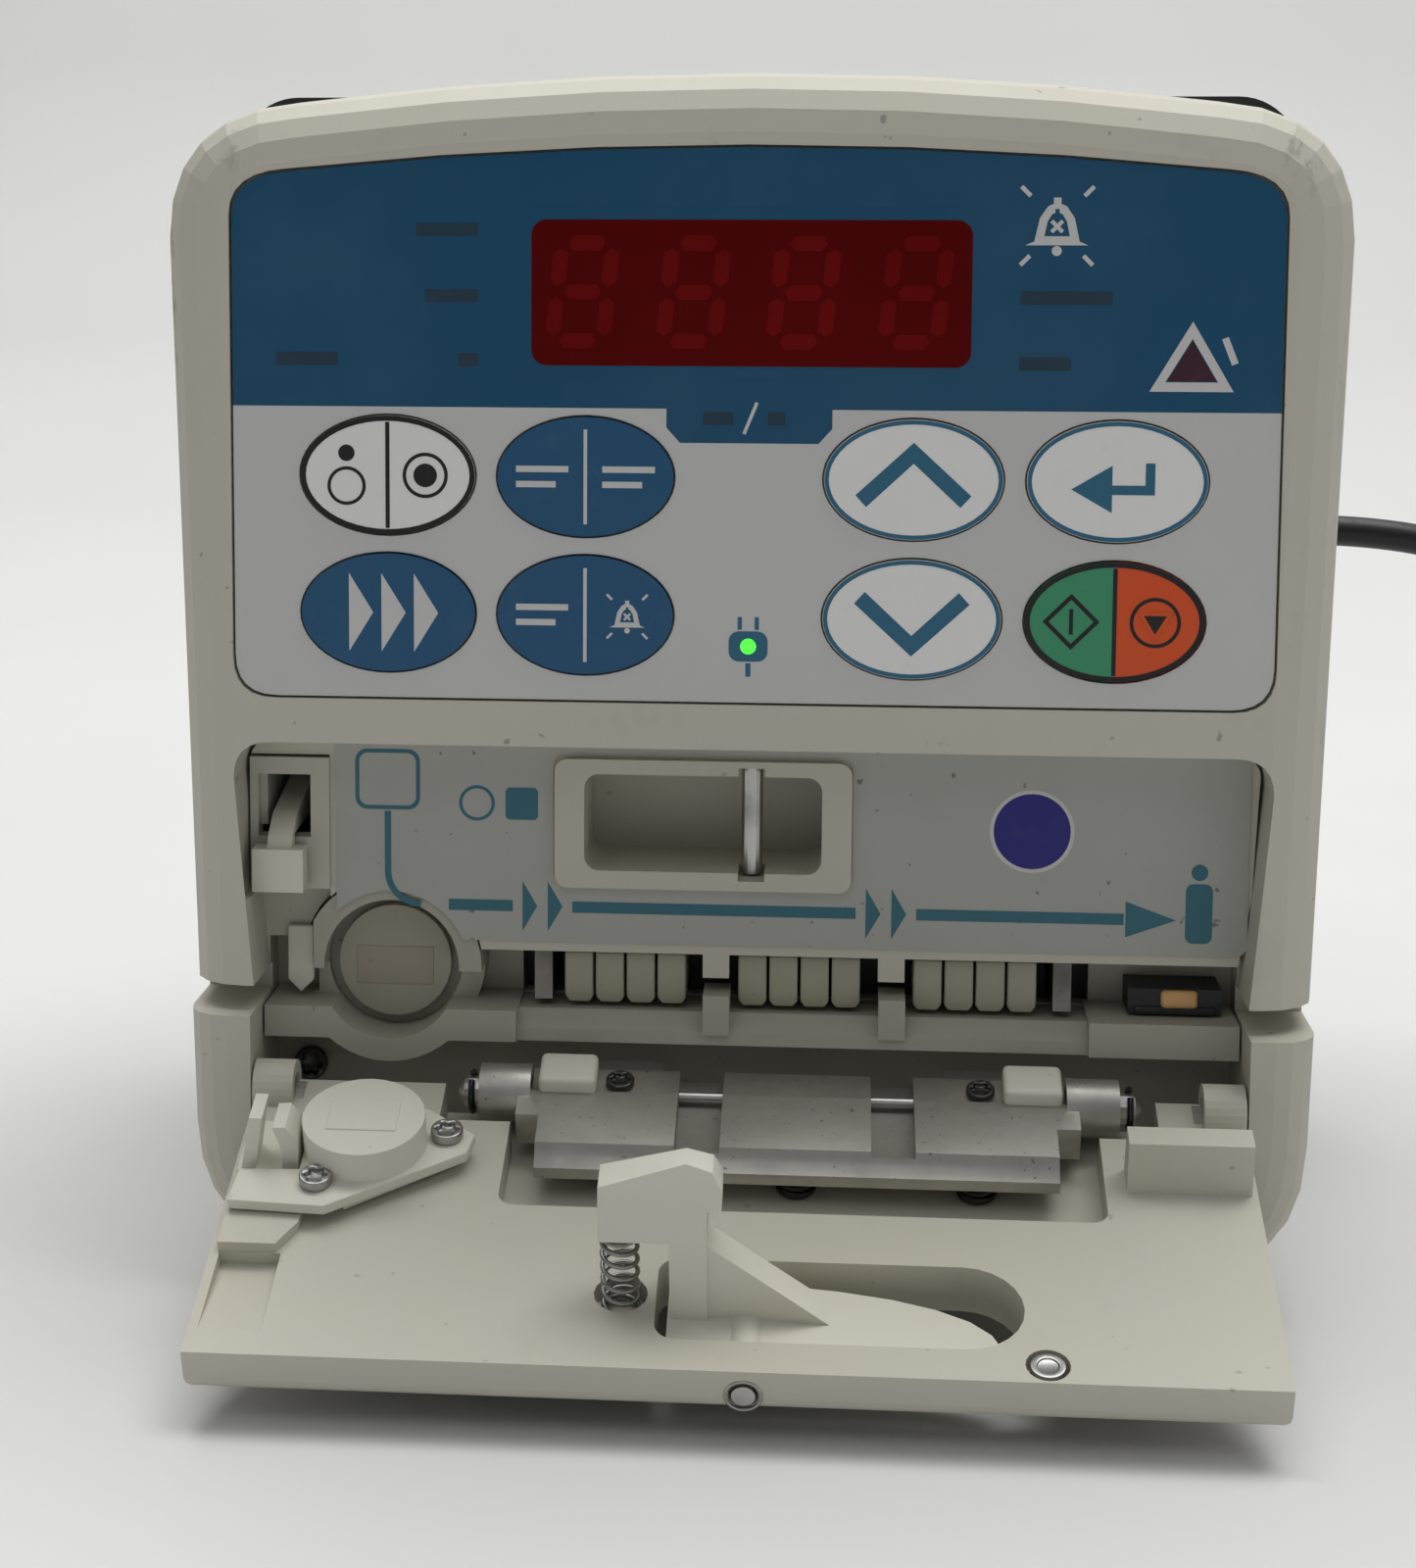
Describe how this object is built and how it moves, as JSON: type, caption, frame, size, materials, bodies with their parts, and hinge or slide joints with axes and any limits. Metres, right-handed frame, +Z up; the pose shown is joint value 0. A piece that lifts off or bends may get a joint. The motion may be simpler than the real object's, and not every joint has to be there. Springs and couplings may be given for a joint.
{
  "type": "volumetric infusion pump",
  "caption": "Linear peristaltic infusion pump with its front door hanging open, keypad and display, tube bay with fingers, spring platen, door latch, pole clamp and mains lead.",
  "frame": {"origin": "on the surface the feet stand on, below the middle of the pump with its door open; the mains lead is left out of that measure", "axes": "+Z up, the keypad faces -Y, +X to the right of a person facing the keypad"},
  "size_m": [0.277, 0.1798, 0.1475],
  "materials": {
    "casing_grey": "fine moulded texture, warm light grey",
    "black_plastic": "satin black",
    "feet_rubber": "matt black",
    "keypad_film": "printed polyester film",
    "key_white": "domed film key",
    "key_blue": "domed film key",
    "key_green": "domed film key",
    "display_red": "dark red filter",
    "circuit_board": "green laminate",
    "battery_wrap": "shrink wrap",
    "ivory_plastic": "off-white acetal",
    "frame_grey": "moulded grey",
    "dark_plastic": "glass-filled grey",
    "sensor_disc": "moulded light grey",
    "steel": "ground steel",
    "cast_platen": "die cast, faces machined",
    "motor_case": "black",
    "clamp_metal": "black powder coat",
    "cord_black": "satin black sheath"
  },
  "bodies": {
    "pump": {"front_casing": "casing_grey", "rear_cover": "black_plastic", "foot_frame": "feet_rubber", "keypad_overlay": "keypad_film", "display_window": "display_red", "display_board": "circuit_board", "battery_pack": "battery_wrap", "bay_plate": "casing_grey", "latch_pin": "steel", "lever_frame": "frame_grey", "clamp_peg": "ivory_plastic", "tube_tray": "casing_grey", "pressure_disc": "sensor_disc", "air_sensor": "black_plastic", "finger_guide": "dark_plastic", "motor": "motor_case", "mains_inlet": "black_plastic", "pole_clamp": "clamp_metal", "cord_connector": "cord_black", "mains_cord": "cord_black", "cord_coil": "cord_black", "mains_plug": "cord_black"},
    "door": {"door_panel": "casing_grey", "hinge_pin_left": "steel", "hinge_pin_right": "steel", "platen_shaft": "steel", "platen_spring_1": "steel", "platen_spring_2": "steel", "platen_spring_3": "steel", "pressure_boss": "ivory_plastic", "tube_clip": "ivory_plastic", "latch_pivot": "steel", "latch_spring": "steel"},
    "platen": {"platen": "cast_platen"},
    "latch": {"door_latch": "ivory_plastic"},
    "tube_lever": {"clamp_lever": "ivory_plastic"},
    "cams": {"camshaft": "steel"},
    "pole_screw": {"clamp_screw": "black_plastic"},
    "finger_1": {"finger_1": "ivory_plastic"},
    "finger_2": {"finger_2": "ivory_plastic"},
    "finger_3": {"finger_3": "ivory_plastic"},
    "finger_4": {"finger_4": "ivory_plastic"},
    "finger_5": {"finger_5": "ivory_plastic"},
    "finger_6": {"finger_6": "ivory_plastic"},
    "finger_7": {"finger_7": "ivory_plastic"},
    "finger_8": {"finger_8": "ivory_plastic"},
    "finger_9": {"finger_9": "ivory_plastic"},
    "finger_10": {"finger_10": "ivory_plastic"},
    "finger_11": {"finger_11": "ivory_plastic"},
    "finger_12": {"finger_12": "ivory_plastic"},
    "valve_in": {"valve_in": "steel"},
    "valve_out": {"valve_out": "steel"},
    "key_power": {"key_power": "key_white"},
    "key_select": {"key_select": "key_blue"},
    "key_up": {"key_up": "key_white"},
    "key_enter": {"key_enter": "key_white"},
    "key_prime": {"key_prime": "key_blue"},
    "key_clear": {"key_clear": "key_blue"},
    "key_down": {"key_down": "key_white"},
    "key_run": {"key_run": "key_green"}
  },
  "joints": [
    {"name": "door_hinge", "type": "hinge", "parent": "pump", "child": "door", "pos_m": [0, -0.04532, 0.0255], "axis": [-1, 0, 0], "range_deg": [0, 110.3]},
    {"name": "platen_tilt", "type": "hinge", "parent": "door", "child": "platen", "pos_m": [0, -0.04532, 0.0255], "axis": [1, 0, 0], "range_deg": [0, 4], "stiffness_Nm_per_rad": 1.5, "springref_deg": -2.86, "deforming": ["platen_spring_1", "platen_spring_2", "platen_spring_3"]},
    {"name": "latch_swing", "type": "hinge", "parent": "door", "child": "latch", "pos_m": [0.0015, -0.07683, 0.00979], "axis": [0, -0.9379, -0.3469], "range_deg": [-4, 8], "stiffness_Nm_per_rad": 0.4, "deforming": ["latch_spring"]},
    {"name": "tube_lever_swing", "type": "hinge", "parent": "pump", "child": "tube_lever", "pos_m": [-0.0569, -0.01632, 0.0595], "axis": [-1, 0, 0], "range_deg": [0, 9], "stiffness_Nm_per_rad": 0.02, "springref_deg": -5.73},
    {"name": "cam_turn", "type": "hinge", "parent": "pump", "child": "cams", "pos_m": [0, -0.00382, 0.0381], "axis": [1, 0, 0], "continuous": true},
    {"name": "pole_screw_turn", "type": "hinge", "parent": "pump", "child": "pole_screw", "pos_m": [0.02, 0.07498, 0.1125], "axis": [1, 0, 0], "continuous": true},
    {"name": "finger_1_stroke", "type": "slide", "parent": "pump", "child": "finger_1", "axis": [0, -1, 0], "range_m": [0, 0.0024], "stiffness_N_per_m": 200},
    {"name": "finger_2_stroke", "type": "slide", "parent": "pump", "child": "finger_2", "axis": [0, -1, 0], "range_m": [0, 0.0024], "stiffness_N_per_m": 200},
    {"name": "finger_3_stroke", "type": "slide", "parent": "pump", "child": "finger_3", "axis": [0, -1, 0], "range_m": [0, 0.0024], "stiffness_N_per_m": 200},
    {"name": "finger_4_stroke", "type": "slide", "parent": "pump", "child": "finger_4", "axis": [0, -1, 0], "range_m": [0, 0.0024], "stiffness_N_per_m": 200},
    {"name": "finger_5_stroke", "type": "slide", "parent": "pump", "child": "finger_5", "axis": [0, -1, 0], "range_m": [0, 0.0024], "stiffness_N_per_m": 200},
    {"name": "finger_6_stroke", "type": "slide", "parent": "pump", "child": "finger_6", "axis": [0, -1, 0], "range_m": [0, 0.0024], "stiffness_N_per_m": 200},
    {"name": "finger_7_stroke", "type": "slide", "parent": "pump", "child": "finger_7", "axis": [0, -1, 0], "range_m": [0, 0.0024], "stiffness_N_per_m": 200},
    {"name": "finger_8_stroke", "type": "slide", "parent": "pump", "child": "finger_8", "axis": [0, -1, 0], "range_m": [0, 0.0024], "stiffness_N_per_m": 200},
    {"name": "finger_9_stroke", "type": "slide", "parent": "pump", "child": "finger_9", "axis": [0, -1, 0], "range_m": [0, 0.0024], "stiffness_N_per_m": 200},
    {"name": "finger_10_stroke", "type": "slide", "parent": "pump", "child": "finger_10", "axis": [0, -1, 0], "range_m": [0, 0.0024], "stiffness_N_per_m": 200},
    {"name": "finger_11_stroke", "type": "slide", "parent": "pump", "child": "finger_11", "axis": [0, -1, 0], "range_m": [0, 0.0024], "stiffness_N_per_m": 200},
    {"name": "finger_12_stroke", "type": "slide", "parent": "pump", "child": "finger_12", "axis": [0, -1, 0], "range_m": [0, 0.0024], "stiffness_N_per_m": 200},
    {"name": "valve_in_stroke", "type": "slide", "parent": "pump", "child": "valve_in", "axis": [0, -1, 0], "range_m": [0, 0.0024], "stiffness_N_per_m": 200},
    {"name": "valve_out_stroke", "type": "slide", "parent": "pump", "child": "valve_out", "axis": [0, -1, 0], "range_m": [0, 0.0024], "stiffness_N_per_m": 200},
    {"name": "key_power_press", "type": "slide", "parent": "pump", "child": "key_power", "axis": [0, 1, 0], "range_m": [0, 0.0003], "stiffness_N_per_m": 1500},
    {"name": "key_select_press", "type": "slide", "parent": "pump", "child": "key_select", "axis": [0, 1, 0], "range_m": [0, 0.0003], "stiffness_N_per_m": 1500},
    {"name": "key_up_press", "type": "slide", "parent": "pump", "child": "key_up", "axis": [0, 1, 0], "range_m": [0, 0.0003], "stiffness_N_per_m": 1500},
    {"name": "key_enter_press", "type": "slide", "parent": "pump", "child": "key_enter", "axis": [0, 1, 0], "range_m": [0, 0.0003], "stiffness_N_per_m": 1500},
    {"name": "key_prime_press", "type": "slide", "parent": "pump", "child": "key_prime", "axis": [0, 1, 0], "range_m": [0, 0.0003], "stiffness_N_per_m": 1500},
    {"name": "key_clear_press", "type": "slide", "parent": "pump", "child": "key_clear", "axis": [0, 1, 0], "range_m": [0, 0.0003], "stiffness_N_per_m": 1500},
    {"name": "key_down_press", "type": "slide", "parent": "pump", "child": "key_down", "axis": [0, 1, 0], "range_m": [0, 0.0003], "stiffness_N_per_m": 1500},
    {"name": "key_run_press", "type": "slide", "parent": "pump", "child": "key_run", "axis": [0, 1, 0], "range_m": [0, 0.0003], "stiffness_N_per_m": 1500}
  ]
}
